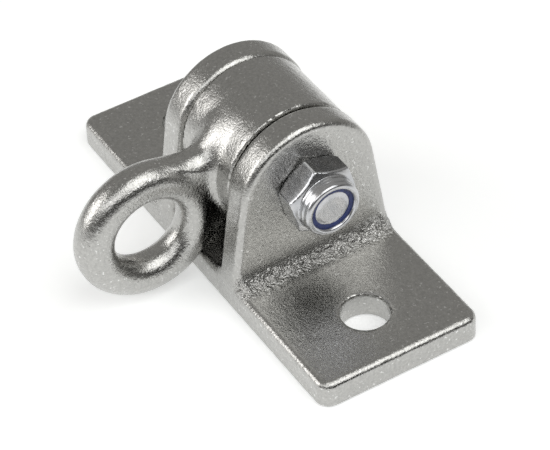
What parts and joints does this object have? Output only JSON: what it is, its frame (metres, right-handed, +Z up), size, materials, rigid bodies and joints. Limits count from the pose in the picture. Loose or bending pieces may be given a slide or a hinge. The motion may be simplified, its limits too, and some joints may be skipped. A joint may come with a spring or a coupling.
{
  "type": "roof anchor",
  "caption": "Forged plate bracket with upright ears that hold a swinging round eye on a hex bolt with a self-locking nut; the plate bolts down through round holes.",
  "frame": {"origin": "middle of the plate's flat underside, below the pivot bolt", "axes": "+Z up, away from the surface that the plate is bolted to; +X along the pivot bolt towards its nut and along the plate; the eye lies out over the plate's -Y edge at rest"},
  "size_m": [0.132, 0.0857, 0.054],
  "materials": {
    "forged_zinc": "bright zinc plating over a shot-blasted steel forging, satin with a fine sparkle",
    "bright_zinc": "smooth bright zinc plating on turned steel",
    "sleeve_steel": "ground steel",
    "bush_bronze": "plain sintered bronze",
    "blue_nylon": "satin blue nylon"
  },
  "bodies": {
    "fixed": {"bracket": "forged_zinc", "pivot_bolt": "bright_zinc", "lock_nut": "bright_zinc", "nut_insert": "blue_nylon", "pivot_sleeve": "sleeve_steel"},
    "eye": {"swing_eye": "forged_zinc", "bush_nut_side": "bush_bronze", "bush_head_side": "bush_bronze"}
  },
  "joints": [
    {"name": "eye_swing", "type": "hinge", "parent": "fixed", "child": "eye", "pos_m": [0, 0, 0.034], "axis": [-1, 0, 0], "range_deg": [0, 211.4]}
  ]
}
